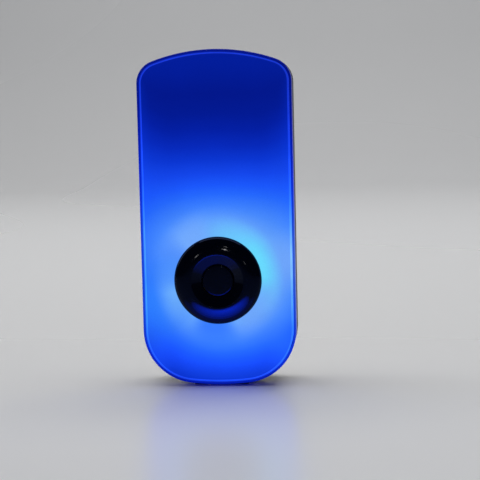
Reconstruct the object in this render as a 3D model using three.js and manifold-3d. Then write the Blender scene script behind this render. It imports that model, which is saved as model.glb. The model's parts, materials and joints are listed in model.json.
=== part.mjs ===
// A bluetooth audio receiver: a tall rounded slab that stands on its end. Its whole front is a
// light panel, and a turning volume ring with a push button in its middle sits low on that panel.
// Millimetres, +Z up, front towards -Y, origin on the standing surface under the middle of the part.
import * as THREE from "three";
import { mergeVertices } from "three/addons/utils/BufferGeometryUtils.js";
import Module from "manifold-3d";

const wasm = await Module();
wasm.setup();

// ---- driving dimensions ----

const BODY_WIDTH = 68;
const BODY_HEIGHT = 148;
const BODY_DEPTH = 28;
const TOP_RADIUS = 80.6;
const TOP_CORNER_RADIUS = 10.3;
const BASE_RADIUS = 115.4;
const BASE_CORNER_RADIUS = 23.7;
const FOOT_LIFT = 0.8;
const GAP = 0.3;
const WALL = 1.8;

const DIAL_DROP = 27.3;
const DIAL_RADIUS = 19.4;
const DIAL_PROUD = 4.6;
const CREST_RADIUS = 11.7;
const KNOB_PROUD = 0.8;

// Depths are measured back from the plane of the light panel.
const FRONT_Y = (DIAL_PROUD - BODY_DEPTH - KNOB_PROUD) / 2;
const BODY_BASE_Z = FOOT_LIFT;
const BODY_MID_Z = BODY_BASE_Z + BODY_HEIGHT / 2;
const DIAL_Z = BODY_MID_Z - DIAL_DROP;

// Insets are measured inwards from the outline of the body.
const RIM_WIDTH = 0.95;
const LIP_WIDTH = 0.4;
const GUIDE_INSET = RIM_WIDTH + GAP;
const PANEL_INSET = GUIDE_INSET + LIP_WIDTH + GAP;
const TONGUE_INSET = WALL + GAP;
const TONGUE_WALL = 1.2;
const CHASSIS_INSET = TONGUE_INSET + TONGUE_WALL + GAP;
const BOARD_INSET = 7;

const PANEL_BACK = 2.3;
const GUIDE_FRONT = PANEL_BACK + GAP;
const GUIDE_BACK = 5.2;
const REFLECTOR_FRONT = GUIDE_BACK + GAP;
const REFLECTOR_BACK = REFLECTOR_FRONT + 0.4;
const CHASSIS_FRONT = REFLECTOR_BACK + 0.4;
const CHASSIS_BACK = CHASSIS_FRONT + 1.8;
const BEZEL_BACK = 9;
const SHELL_FRONT = BEZEL_BACK + GAP;
const TONGUE_BACK = 12;
const BOARD_FRONT = 12.8;
const BOARD_BACK = BOARD_FRONT + 1.6;
const SHELL_EDGE = 5;
const SHELL_EDGE_DEPTH = 9;
const HEAD_SEAT = 22;

const HUB_RADIUS = 10.9;
const HUB_BORE = 8.9;
const HUB_BACK = 9.9;
const BEARING_FRONT = 0.4;
const BEARING_BACK = 7.3;
const SEAT_RADIUS = 17;
const LED_HOLE_RADIUS = 25.5;
const BUTTON_RADIUS = 6.8;
const BUTTON_TRAVEL = 0.6;

const SCREW_PLACES = [[-24.5, 30], [24.5, 30], [-23, 131], [23, 131]];
const STANDOFF_PLACES = [[-22, 58], [22, 58], [0, 98]];
const LED_COUNT = 8;
const SOCKET_Z = 19;
const JACK_X = -14;
const SWITCH_X = 14;
const SWITCH_TRAVEL = 2.5;
const BATTERY_SIZE = { width: 38, height: 50, thickness: 7 };
const BATTERY_BASE_Z = 33;

const ARC_STEPS = 9;
const DIAL_STEPS = 48;
const HIDDEN_STEPS = 28;
const ROUND_STEPS = 24;
const SMALL_STEPS = 12;
const QUARTER = Math.PI / 2;

// ---- materials ----

function finish(color, roughness, metalness = 0) {
  return new THREE.MeshStandardMaterial({ color, roughness, metalness });
}

const FINISHES = {
  frostedBlue: finish(0x2a63f0, 0.35),
  litPanel: finish(0x2f74ff, 0.25),
  clearGuide: finish(0xbfdcff, 0.1),
  whiteFilm: finish(0xf2f4f6, 0.5),
  blackGloss: finish(0x050608, 0.08),
  blackMatte: finish(0x15171b, 0.55),
  greyPlastic: finish(0x3a3e44, 0.6),
  circuitBoard: finish(0x0f3d2a, 0.5),
  moduleBoard: finish(0x10284a, 0.5),
  chip: finish(0x121316, 0.45),
  lens: finish(0xf4f0d8, 0.3),
  tin: finish(0xb9bdc2, 0.3, 0.9),
  steel: finish(0x9aa0a6, 0.35, 0.9),
  gold: finish(0xd2a94e, 0.3, 0.9),
  magnet: finish(0x2b2b2e, 0.5, 0.4),
  foil: finish(0xc3c8ce, 0.4, 0.6),
  foam: finish(0x24262a, 0.95),
  redWire: finish(0xb01818, 0.5),
  blackWire: finish(0x101012, 0.5),
  silicone: finish(0x2a2c30, 0.8),
};

// ---- solids ----

function solidOf(geometry) {
  geometry.deleteAttribute("normal");
  geometry.deleteAttribute("uv");
  const merged = mergeVertices(geometry);
  const corners = merged.index.array;
  const build = (flip) => {
    const triangles = [];
    for (let i = 0; i < corners.length; i += 3) {
      const [a, b, c] = corners.slice(i, i + 3);
      if (a !== b && b !== c && c !== a) {
        triangles.push(...(flip ? [a, c, b] : [a, b, c]));
      }
    }
    const vertProperties = new Float32Array(merged.attributes.position.array);
    const triVerts = Uint32Array.from(triangles);
    return new wasm.Manifold(new wasm.Mesh({ numProp: 3, vertProperties, triVerts }));
  };
  const made = build(false);
  return made.volume() > 0 ? made : build(true);
}

function joined(first, ...others) {
  return others.reduce((sum, other) => sum.add(other), first);
}

function cut(first, ...others) {
  return others.reduce((rest, other) => rest.subtract(other), first);
}

function arc(x, z, radius, from, to, steps) {
  const points = [];
  for (let i = 0; i <= steps; i += 1) {
    const angle = from + ((to - from) * i) / steps;
    points.push(new THREE.Vector2(x + radius * Math.cos(angle), z + radius * Math.sin(angle)));
  }
  return points;
}

// The outline of the body: a shallow arch on top, a shallower one below, straight sides and
// four round corners, each tangent to its neighbours. Arcs that meet share one point.
function outlinePoints(inset) {
  const half = BODY_WIDTH / 2;
  const topZ = BODY_MID_Z + BODY_HEIGHT / 2 - TOP_RADIUS;
  const baseZ = BODY_MID_Z - BODY_HEIGHT / 2 + BASE_RADIUS;
  const topX = half - TOP_CORNER_RADIUS;
  const baseX = half - BASE_CORNER_RADIUS;
  const topLean = Math.asin(topX / (TOP_RADIUS - TOP_CORNER_RADIUS));
  const baseLean = Math.asin(baseX / (BASE_RADIUS - BASE_CORNER_RADIUS));
  const topCornerZ = topZ + (TOP_RADIUS - TOP_CORNER_RADIUS) * Math.cos(topLean);
  const baseCornerZ = baseZ - (BASE_RADIUS - BASE_CORNER_RADIUS) * Math.cos(baseLean);
  const topCorner = TOP_CORNER_RADIUS - inset;
  const baseCorner = BASE_CORNER_RADIUS - inset;
  return [
    ...arc(topX, topCornerZ, topCorner, 0, QUARTER - topLean, ARC_STEPS).slice(0, -1),
    ...arc(0, topZ, TOP_RADIUS - inset, QUARTER - topLean, QUARTER + topLean, ARC_STEPS).slice(0, -1),
    ...arc(-topX, topCornerZ, topCorner, QUARTER + topLean, 2 * QUARTER, ARC_STEPS),
    ...arc(-baseX, baseCornerZ, baseCorner, 2 * QUARTER, 3 * QUARTER - baseLean, ARC_STEPS).slice(0, -1),
    ...arc(0, baseZ, BASE_RADIUS - inset, 3 * QUARTER - baseLean, 3 * QUARTER + baseLean, ARC_STEPS)
      .slice(0, -1),
    ...arc(baseX, baseCornerZ, baseCorner, 3 * QUARTER + baseLean, 4 * QUARTER, ARC_STEPS),
  ];
}

// A shape drawn in X and Z, filled between two depths.
function extruded(shape, front, back) {
  const geometry = new THREE.ExtrudeGeometry(shape, { depth: back - front, bevelEnabled: false });
  geometry.rotateX(QUARTER);
  geometry.translate(0, FRONT_Y + back, 0);
  return solidOf(geometry);
}

function outlinePlate(inset, front, back) {
  return extruded(new THREE.Shape(outlinePoints(inset)), front, back);
}

function outlineRing(outerInset, innerInset, front, back) {
  return cut(outlinePlate(outerInset, front, back), outlinePlate(innerInset, front - 1, back + 1));
}

// The body's outline between two depths, with both edges rolled over by a quarter ellipse.
function roundedPlate(inset, front, back, edge, edgeDepth, steps) {
  const geometry = new THREE.ExtrudeGeometry(new THREE.Shape(outlinePoints(inset + edge)), {
    depth: back - front - 2 * edgeDepth,
    bevelEnabled: true,
    bevelSize: edge,
    bevelThickness: edgeDepth,
    bevelSegments: steps,
  });
  geometry.rotateX(QUARTER);
  geometry.translate(0, FRONT_Y + back - edgeDepth, 0);
  return solidOf(geometry);
}

function box(x, z, width, height, front, back) {
  const geometry = new THREE.BoxGeometry(width, back - front, height);
  geometry.translate(x, FRONT_Y + (front + back) / 2, z);
  return solidOf(geometry);
}

function rod(x, z, radius, front, back, steps = SMALL_STEPS) {
  const geometry = new THREE.CylinderGeometry(radius, radius, back - front, steps);
  geometry.translate(x, FRONT_Y + (front + back) / 2, z);
  return solidOf(geometry);
}

// A round-cornered bar that runs straight back, such as the shell of a socket.
function roundedBar(x, z, width, height, radius, front, back) {
  const right = width / 2 - radius;
  const up = height / 2 - radius;
  const cornerSteps = 4;
  const corners = [[right, up], [-right, up], [-right, -up], [right, -up]];
  const points = corners.flatMap(([dx, dz], i) =>
    arc(x + dx, z + dz, radius, i * QUARTER, (i + 1) * QUARTER, cornerSteps));
  return extruded(new THREE.Shape(points), front, back);
}

// A profile of [radius, depth] points turned about the dial's axis.
function turned(profile, steps = HIDDEN_STEPS) {
  const points = profile.map(([radius, depth]) => new THREE.Vector2(radius, FRONT_Y + depth));
  const geometry = new THREE.LatheGeometry(points, steps);
  geometry.translate(0, 0, DIAL_Z);
  return solidOf(geometry);
}

function closedLoop(profile) {
  return [...profile, profile[0]];
}

function dialRing(outer, inner, front, back) {
  return turned(closedLoop([[outer, front], [outer, back], [inner, back], [inner, front]]));
}

const model = new THREE.Group();

function addPart(name, shape, material) {
  const { vertProperties, triVerts } = shape.getMesh();
  const geometry = new THREE.BufferGeometry();
  geometry.setAttribute("position", new THREE.BufferAttribute(vertProperties, 3));
  geometry.setIndex(new THREE.BufferAttribute(triVerts, 1));
  geometry.computeVertexNormals();
  const mesh = new THREE.Mesh(geometry, material);
  mesh.name = name;
  model.add(mesh);
}

// ---- front: frame, light panel and what lights it ----

function frontBezel() {
  const rimEdge = 0.9;
  const rimSteps = 3;
  const whole = roundedPlate(0, 0, 2 * BEZEL_BACK, rimEdge, rimEdge, rimSteps);
  const rim = whole.intersect(box(0, BODY_MID_Z, 2 * BODY_WIDTH, 2 * BODY_HEIGHT, -1, BEZEL_BACK));
  const tongue = outlineRing(TONGUE_INSET, TONGUE_INSET + TONGUE_WALL, CHASSIS_FRONT, TONGUE_BACK);
  let bezel = cut(rim,
    outlinePlate(RIM_WIDTH, -1, CHASSIS_FRONT),
    outlinePlate(TONGUE_INSET + TONGUE_WALL / 2, 0, BEZEL_BACK + 1));
  bezel = joined(bezel, tongue);
  const earFront = CHASSIS_BACK + GAP;
  const earRadius = 3;
  const pilotRadius = 1.3;
  const webWidth = 2.4;
  const reach = BODY_WIDTH / 2 - TONGUE_INSET - TONGUE_WALL / 2;
  for (const [x, z] of SCREW_PLACES) {
    const side = Math.sign(x);
    const web = box((x + side * reach) / 2, z, reach - Math.abs(x), webWidth, earFront, TONGUE_BACK);
    const ear = joined(rod(x, z, earRadius, earFront, TONGUE_BACK), web);
    bezel = cut(joined(bezel, ear), rod(x, z, pilotRadius, earFront - 1, TONGUE_BACK + 1));
  }
  addPart("front_bezel", bezel, FINISHES.frostedBlue);
}

function lightPanel() {
  const edge = 0.4;
  const edgeSteps = 2;
  const plate = roundedPlate(PANEL_INSET, 0, PANEL_BACK, edge, edge, edgeSteps);
  const hole = rod(0, DIAL_Z, SEAT_RADIUS + GAP, -1, PANEL_BACK + 1, HIDDEN_STEPS);
  addPart("light_panel", cut(plate, hole), FINISHES.litPanel);
}

function lightGuide() {
  const lipFront = 0.2;
  const plate = outlinePlate(GUIDE_INSET, GUIDE_FRONT, GUIDE_BACK);
  const lip = outlineRing(GUIDE_INSET, GUIDE_INSET + LIP_WIDTH, lipFront, GUIDE_BACK);
  const hole = rod(0, DIAL_Z, LED_HOLE_RADIUS, 0, GUIDE_BACK + 1, HIDDEN_STEPS);
  addPart("light_guide", cut(joined(plate, lip), hole), FINISHES.clearGuide);
}

function reflectorSheet() {
  const sheetInset = GUIDE_INSET + GAP;
  const sheet = outlinePlate(sheetInset, REFLECTOR_FRONT, REFLECTOR_BACK);
  const hole = rod(0, DIAL_Z, LED_HOLE_RADIUS, REFLECTOR_FRONT - 1, REFLECTOR_BACK + 1, HIDDEN_STEPS);
  addPart("reflector_sheet", cut(sheet, hole), FINISHES.whiteFilm);
}

function ledRing() {
  const boardFront = 4.8;
  const boardBack = 5.9;
  const boardRadius = 25;
  const ledRadius = 23.4;
  const ledWidth = 3.4;
  const ledHeight = 1.4;
  const ledFront = 3;
  addPart("led_board", dialRing(boardRadius, SEAT_RADIUS + GAP, boardFront, boardBack),
    FINISHES.whiteFilm);
  for (let i = 0; i < LED_COUNT; i += 1) {
    const angle = (i + 0.5) * (2 * Math.PI / LED_COUNT);
    const geometry = new THREE.BoxGeometry(ledHeight, boardFront - GAP - ledFront, ledWidth);
    geometry.translate(ledRadius, FRONT_Y + (boardFront - GAP + ledFront) / 2, 0);
    geometry.rotateY(angle);
    geometry.translate(0, 0, DIAL_Z);
    addPart(`led_${i + 1}`, solidOf(geometry), FINISHES.lens);
  }
}

// The chassis closes the front assembly. Its raised seat is the volume ring's bearing.
function chassis() {
  const seatWall = 1.6;
  const bearingBore = HUB_RADIUS + GAP;
  const standoffRadius = 2.4;
  const standoffBack = BOARD_FRONT - GAP;
  const standoffPilot = 1.1;
  const cableSlot = { z: DIAL_Z + 21, width: 7, height: 2 };
  let plate = outlinePlate(CHASSIS_INSET, CHASSIS_FRONT, CHASSIS_BACK);
  plate = cut(plate, rod(0, DIAL_Z, SEAT_RADIUS - seatWall, 0, CHASSIS_BACK + 1, HIDDEN_STEPS));
  const seat = turned(closedLoop([
    [SEAT_RADIUS, BEARING_FRONT],
    [SEAT_RADIUS, CHASSIS_BACK],
    [SEAT_RADIUS - seatWall, CHASSIS_BACK],
    [SEAT_RADIUS - seatWall, BEARING_FRONT + seatWall],
    [bearingBore + seatWall, BEARING_FRONT + seatWall],
    [bearingBore + seatWall, BEARING_BACK],
    [bearingBore, BEARING_BACK],
    [bearingBore, BEARING_FRONT],
  ]));
  let frame = joined(plate, seat);
  for (const [x, z] of STANDOFF_PLACES) {
    frame = joined(frame, rod(x, z, standoffRadius, CHASSIS_FRONT, standoffBack));
    frame = cut(frame, rod(x, z, standoffPilot, CHASSIS_BACK, standoffBack + 1));
  }
  frame = cut(frame,
    box(0, cableSlot.z, cableSlot.width, cableSlot.height, CHASSIS_FRONT - 1, CHASSIS_BACK + 1));
  addPart("chassis", frame, FINISHES.blackMatte);

  const cableWidth = 5;
  const cableThickness = 0.3;
  const connectorHeight = 3;
  const connectorFront = 11;
  addPart("led_cable",
    box(0, cableSlot.z, cableWidth, cableThickness, REFLECTOR_BACK + GAP, connectorFront - GAP),
    FINISHES.blackWire);
  addPart("led_connector",
    box(0, cableSlot.z, cableSlot.width, connectorHeight, connectorFront, BOARD_FRONT - GAP),
    FINISHES.greyPlastic);
}

// ---- volume ring: turns with its retainer, washer and magnet ----

// A glossy ring: a full round shoulder up to the crest, then a straight cone down into the dish.
function volumeRing() {
  const rimFront = -1;
  const underside = -0.4;
  const crestFlat = 0.5;
  const crestDrop = 0.15;
  const dishRadius = BUTTON_RADIUS + GAP;
  const dishFront = -1.5;
  const lipBack = -0.6;
  const coveRadius = 14;
  const coveFront = -2.5;
  const footRadius = 17.6;
  const grooveFront = 7.9;
  const grooveBack = 9.1;
  const grooveDepth = 0.8;
  const shoulderSteps = 6;
  const profile = [[DIAL_RADIUS, underside]];
  for (let i = 0; i <= shoulderSteps; i += 1) {
    const angle = (QUARTER * i) / shoulderSteps;
    profile.push([
      CREST_RADIUS + (DIAL_RADIUS - CREST_RADIUS) * Math.cos(angle),
      rimFront - (DIAL_PROUD + rimFront) * Math.sin(angle),
    ]);
  }
  profile.push(
    [CREST_RADIUS - crestFlat, crestDrop - DIAL_PROUD],
    [dishRadius, dishFront],
    [dishRadius, lipBack],
    [HUB_BORE, lipBack],
    [HUB_BORE, HUB_BACK],
    [HUB_RADIUS, HUB_BACK],
    [HUB_RADIUS, grooveBack],
    [HUB_RADIUS - grooveDepth, grooveBack],
    [HUB_RADIUS - grooveDepth, grooveFront],
    [HUB_RADIUS, grooveFront],
    [HUB_RADIUS, coveFront],
    [coveRadius, coveFront],
    [footRadius, underside],
  );
  addPart("volume_ring", turned(closedLoop(profile), DIAL_STEPS), FINISHES.blackGloss);

  const washerRadius = 14;
  const retainerRadius = 13.2;
  const retainerBore = HUB_RADIUS - grooveDepth + GAP;
  const magnetBack = 11.2;
  addPart("ring_washer", dialRing(washerRadius, HUB_RADIUS + GAP, BEARING_BACK + GAP, grooveFront),
    FINISHES.steel);
  addPart("ring_retainer",
    dialRing(retainerRadius, retainerBore, grooveFront + GAP, grooveBack - GAP), FINISHES.steel);
  addPart("encoder_magnet", dialRing(HUB_RADIUS, HUB_BORE, HUB_BACK + GAP, magnetBack),
    FINISHES.magnet);
}

// ---- centre button: slides in a guide tube onto a switch ----

function centreButton() {
  const crown = -1.8;
  const crownEdge = 0.4;
  const edgeSteps = 3;
  const skirtFront = 0;
  const skirtBack = 3;
  const skirtWall = 1.2;
  const flangeRadius = 7.4;
  const flangeFront = 2;
  const stemRadius = 1.5;
  const stemBack = 8.9;
  const profile = [[0, crown]];
  for (let i = 0; i <= edgeSteps; i += 1) {
    const angle = (QUARTER * i) / edgeSteps;
    profile.push([
      BUTTON_RADIUS - crownEdge * (1 - Math.sin(angle)),
      crown + crownEdge * (1 - Math.cos(angle)),
    ]);
  }
  profile.push(
    [BUTTON_RADIUS, flangeFront],
    [flangeRadius, flangeFront],
    [flangeRadius, skirtBack],
    [BUTTON_RADIUS - skirtWall, skirtBack],
    [BUTTON_RADIUS - skirtWall, skirtFront],
    [stemRadius, skirtFront],
    [stemRadius, stemBack],
    [0, stemBack],
  );
  addPart("button_cap", turned(profile), FINISHES.blackGloss);

  const plungerFront = stemBack + GAP;
  const plungerLength = 1.6;
  const plungerBack = plungerFront + plungerLength;
  const plungerBore = stemRadius + GAP;
  const switchFront = 10;
  const switchBack = BOARD_FRONT - GAP;
  const switchSide = 6;
  addPart("button_plunger", rod(0, DIAL_Z, stemRadius, plungerFront, plungerBack), FINISHES.greyPlastic);
  addPart("button_switch",
    cut(box(0, DIAL_Z, switchSide, switchSide, switchFront, switchBack),
      rod(0, DIAL_Z, plungerBore, switchFront - 1, plungerBack + BUTTON_TRAVEL + GAP)),
    FINISHES.steel);

  const guideBore = BUTTON_RADIUS + GAP + 0.05;
  const guideRadius = HUB_BORE - GAP;
  const stepBore = flangeRadius + GAP;
  const stepFront = flangeFront - GAP;
  const guideFront = -0.3;
  const guideFoot = 9.2;
  const guideFootFront = 11.7;
  addPart("button_guide", turned(closedLoop([
    [guideBore, guideFront],
    [guideRadius, guideFront],
    [guideRadius, guideFootFront],
    [guideFoot, guideFootFront],
    [guideFoot, switchBack],
    [stepBore, switchBack],
    [stepBore, stepFront],
    [guideBore, stepFront],
  ])), FINISHES.greyPlastic);
}

// ---- electronics ----

function mainBoard() {
  const postHole = 3.7;
  const screwHole = 1.1;
  const boardTop = 128;
  const sensor = { drop: 10.6, width: 3, height: 2.2, front: 11.5 };
  let board = outlinePlate(BOARD_INSET, BOARD_FRONT, BOARD_BACK);
  board = board.intersect(box(0, boardTop / 2, BODY_WIDTH, boardTop, BOARD_FRONT - 1, BOARD_BACK + 1));
  for (const [x, z] of SCREW_PLACES) {
    board = cut(board, rod(x, z, postHole, BOARD_FRONT - 1, BOARD_BACK + 1));
  }
  for (const [x, z] of STANDOFF_PLACES) {
    board = cut(board, rod(x, z, screwHole, BOARD_FRONT - 1, BOARD_BACK + 1));
  }
  addPart("main_board", board, FINISHES.circuitBoard);
  addPart("encoder_sensor",
    box(0, DIAL_Z - sensor.drop, sensor.width, sensor.height, sensor.front, BOARD_FRONT - GAP),
    FINISHES.chip);
}

function boardParts() {
  const { chip, tin, moduleBoard, gold } = FINISHES;
  const seat = BOARD_BACK + GAP;
  const moduleThickness = 0.8;
  const blocks = [
    { name: "audio_codec", x: -12, z: 92, width: 6, height: 6, thickness: 0.9, material: chip },
    { name: "charger_chip", x: 12, z: 90, width: 4, height: 4, thickness: 0.8, material: chip },
    { name: "power_inductor", x: 20, z: 90, width: 5, height: 5, thickness: 2.8, material: chip },
    { name: "clock_crystal", x: -20, z: 92, width: 3.2, height: 2.5, thickness: 0.8, material: tin },
    { name: "module_board", x: 0, z: 114, width: 14, height: 22, thickness: moduleThickness,
      material: moduleBoard },
  ];
  for (const { name, x, z, width, height, thickness, material } of blocks) {
    addPart(name, box(x, z, width, height, seat, seat + thickness), material);
  }

  const can = { z: 110, side: 12, height: 1.8, wall: 0.4 };
  const canFront = seat + moduleThickness + GAP;
  const canBack = canFront + can.height;
  const canInside = can.side - 2 * can.wall;
  addPart("module_shield",
    cut(box(0, can.z, can.side, can.side, canFront, canBack),
      box(0, can.z, canInside, canInside, canFront - 1, canBack - can.wall)),
    tin);
  const antenna = { z: 121.5, width: 12, height: 4, thickness: 0.3 };
  addPart("module_antenna",
    box(0, antenna.z, antenna.width, antenna.height, canFront, canFront + antenna.thickness), gold);

  const capacitor = { radius: 2.5, height: 5.4 };
  const capacitorPlaces = [[-20, 104], [-14, 104], [14, 104]];
  capacitorPlaces.forEach(([x, z], i) => {
    addPart(`capacitor_${i + 1}`, rod(x, z, capacitor.radius, seat, seat + capacitor.height), tin);
  });
}

function battery() {
  const { width, height, thickness } = BATTERY_SIZE;
  const middle = BATTERY_BASE_Z + height / 2;
  const padFront = BOARD_BACK + GAP;
  const padThickness = 1.6;
  const padBack = padFront + padThickness;
  const cellFront = padBack + GAP;
  const margin = 5;
  addPart("battery_pad", box(0, middle, width - margin, height - margin, padFront, padBack),
    FINISHES.foam);
  const cell = new THREE.ExtrudeGeometry(cellSection(width, thickness), {
    depth: height,
    bevelEnabled: false,
    curveSegments: 5,
  });
  cell.translate(0, FRONT_Y + cellFront + thickness / 2, BATTERY_BASE_Z);
  addPart("battery_cell", solidOf(cell), FINISHES.foil);

  const plug = { rise: 7, width: 7, height: 5, thickness: 4 };
  const cellTop = BATTERY_BASE_Z + height;
  const plugZ = cellTop + plug.rise;
  addPart("battery_plug",
    box(0, plugZ, plug.width, plug.height, padFront, padFront + plug.thickness),
    FINISHES.whiteFilm);

  const wireRadius = 0.6;
  const wireSpread = 1.6;
  const wireStraight = 1.2;
  const startY = FRONT_Y + cellFront + thickness / 2;
  const endY = FRONT_Y + padFront + plug.thickness / 2;
  const endZ = plugZ - plug.height / 2 - GAP;
  const wires = [
    { name: "battery_wire_red", x: -wireSpread, material: FINISHES.redWire },
    { name: "battery_wire_black", x: wireSpread, material: FINISHES.blackWire },
  ];
  for (const { name, x, material } of wires) {
    const route = new THREE.CatmullRomCurve3([
      new THREE.Vector3(x, startY, cellTop + GAP),
      new THREE.Vector3(x, startY, cellTop + wireStraight + GAP),
      new THREE.Vector3(x, endY, endZ - wireStraight),
      new THREE.Vector3(x, endY, endZ),
    ]);
    addPart(name, wire(route, wireRadius), material);
  }
}

// The pouch cell's cross-section: flat faces with full round sides.
function cellSection(width, thickness) {
  const radius = thickness / 2;
  const straight = width / 2 - radius;
  const section = new THREE.Shape();
  section.absarc(straight, 0, radius, -QUARTER, QUARTER, false);
  section.absarc(-straight, 0, radius, QUARTER, 3 * QUARTER, false);
  return section;
}

function wire(route, radius) {
  const section = new THREE.Shape();
  section.absarc(0, 0, radius, 0, 2 * Math.PI, false);
  return solidOf(new THREE.ExtrudeGeometry(section, {
    steps: 10,
    extrudePath: route,
    curveSegments: 4,
    bevelEnabled: false,
  }));
}

// ---- sockets and power switch in the back ----

const SOCKET_FRONT = BOARD_BACK + GAP;
const SOCKET_MOUTH = BODY_DEPTH - 0.2;
const SHELL_INSIDE = BODY_DEPTH - WALL;
const NOSE_RADIUS = 3;
const USB_SIZE = { width: 9, height: 3.3, radius: 1.4, wall: 0.35 };
const KNOB_SLOT = { width: 5.6, height: 3 };

function audioJack() {
  const plugRadius = 1.75;
  const bodySide = 8;
  const jack = joined(
    box(JACK_X, SOCKET_Z, bodySide, bodySide, SOCKET_FRONT, SHELL_INSIDE - GAP),
    rod(JACK_X, SOCKET_Z, NOSE_RADIUS, SHELL_INSIDE - 1, SOCKET_MOUTH, ROUND_STEPS));
  addPart("audio_jack", cut(jack, rod(JACK_X, SOCKET_Z, plugRadius, SOCKET_FRONT + 1, BODY_DEPTH)),
    FINISHES.blackMatte);
}

function usbSocket() {
  const { width, height, radius, wall } = USB_SIZE;
  const floor = SOCKET_FRONT + 1;
  const outer = roundedBar(0, SOCKET_Z, width, height, radius, SOCKET_FRONT, SOCKET_MOUTH);
  const inner = roundedBar(0, SOCKET_Z, width - 2 * wall, height - 2 * wall, radius - wall,
    floor, BODY_DEPTH);
  addPart("usb_socket", cut(outer, inner), FINISHES.tin);
  const tongue = { width: 6.6, height: 0.7, setBack: 0.8 };
  addPart("usb_tongue",
    box(0, SOCKET_Z, tongue.width, tongue.height, floor + GAP, SOCKET_MOUTH - tongue.setBack),
    FINISHES.chip);
}

function powerSwitch() {
  const body = { width: 9, height: 5, back: 19 };
  const stem = { width: 2.4, height: 1.6 };
  const shoulder = { width: 5, height: 4, thickness: 1 };
  const shoulderBack = SHELL_INSIDE - GAP;
  const shoulderFront = shoulderBack - shoulder.thickness;
  const knobWidth = KNOB_SLOT.width - SWITCH_TRAVEL - 2 * GAP;
  const knobX = SWITCH_X - SWITCH_TRAVEL / 2;
  addPart("power_switch", box(SWITCH_X, SOCKET_Z, body.width, body.height, SOCKET_FRONT, body.back),
    FINISHES.tin);
  addPart("power_knob", joined(
    box(knobX, SOCKET_Z, stem.width, stem.height, body.back + GAP, shoulderBack),
    box(knobX, SOCKET_Z, shoulder.width, shoulder.height, shoulderFront, shoulderBack),
    box(knobX, SOCKET_Z, knobWidth, KNOB_SLOT.height - 2 * GAP, shoulderFront,
      BODY_DEPTH + KNOB_PROUD)),
    FINISHES.blackMatte);
}

// ---- back: shell, screws and foot ----

function rearShell() {
  const edgeSteps = 5;
  const cavitySteps = 3;
  const cavityEdge = SHELL_EDGE - 0.8;
  const cavityEdgeDepth = SHELL_EDGE_DEPTH - 1;
  const postRadius = 3.2;
  const shankHole = 1.3;
  const headHole = 2.4;
  const keep = box(0, BODY_MID_Z, 2 * BODY_WIDTH, 2 * BODY_HEIGHT, SHELL_FRONT, 2 * BODY_DEPTH);
  const outside = roundedPlate(0, -1, BODY_DEPTH, SHELL_EDGE, SHELL_EDGE_DEPTH, edgeSteps);
  const cavity = roundedPlate(WALL, -1, SHELL_INSIDE, cavityEdge, cavityEdgeDepth, cavitySteps);
  const skin = outside.intersect(keep);
  let shell = cut(skin, cavity);
  for (const [x, z] of SCREW_PLACES) {
    const post = rod(x, z, postRadius, TONGUE_BACK + GAP, SHELL_INSIDE + 1).intersect(skin);
    shell = joined(shell, post);
    shell = cut(shell,
      rod(x, z, shankHole, 0, BODY_DEPTH + 1),
      rod(x, z, headHole, HEAD_SEAT, BODY_DEPTH + 1));
  }
  shell = cut(shell,
    rod(JACK_X, SOCKET_Z, NOSE_RADIUS + GAP, SHELL_INSIDE - 1, BODY_DEPTH + 1, ROUND_STEPS),
    roundedBar(0, SOCKET_Z, USB_SIZE.width + 2 * GAP, USB_SIZE.height + 2 * GAP,
      USB_SIZE.radius + GAP, SHELL_INSIDE - 1, BODY_DEPTH + 1),
    box(SWITCH_X, SOCKET_Z, KNOB_SLOT.width, KNOB_SLOT.height, SHELL_INSIDE - 1, BODY_DEPTH + 1));
  addPart("rear_shell", shell, FINISHES.blackMatte);
}

// A pan-head screw with a cross slot, its head towards the back.
function screw(name, x, z, { tip, head, shankRadius, headRadius, headHeight }) {
  const slotLength = 1.3 * headRadius;
  const slotWidth = 0.35 * headRadius;
  const slotFront = head + headHeight / 2;
  const slotBack = head + headHeight + 1;
  const whole = joined(
    rod(x, z, shankRadius, tip, slotFront),
    rod(x, z, headRadius, head, head + headHeight));
  addPart(name, cut(whole,
    box(x, z, slotLength, slotWidth, slotFront, slotBack),
    box(x, z, slotWidth, slotLength, slotFront, slotBack)),
    FINISHES.steel);
}

function screws() {
  const caseScrew = {
    tip: 9, head: HEAD_SEAT + GAP, shankRadius: 1, headRadius: 1.9, headHeight: 1.4,
  };
  const boardScrew = {
    tip: 9, head: BOARD_BACK + GAP, shankRadius: 0.8, headRadius: 1.7, headHeight: 1,
  };
  SCREW_PLACES.forEach(([x, z], i) => screw(`case_screw_${i + 1}`, x, z, caseScrew));
  STANDOFF_PLACES.forEach(([x, z], i) => screw(`board_screw_${i + 1}`, x, z, boardScrew));
}

// A silicone foot under the base. Its top follows the base's arch and its underside is flat.
function footPad() {
  const padWidth = 24;
  const padFront = 4.5;
  const padBack = 22.5;
  const block = box(0, BODY_BASE_Z, padWidth, 2 * BODY_BASE_Z, padFront, padBack);
  addPart("foot_pad", cut(block, outlinePlate(-GAP, padFront - 1, padBack + 1)), FINISHES.silicone);
}

frontBezel();
lightPanel();
lightGuide();
reflectorSheet();
ledRing();
chassis();
volumeRing();
centreButton();
mainBoard();
boardParts();
battery();
audioJack();
usbSocket();
powerSwitch();
rearShell();
screws();
footPad();

export default model;
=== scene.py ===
import json
import math

import bmesh
import bpy
from mathutils import Matrix, Vector


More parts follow.
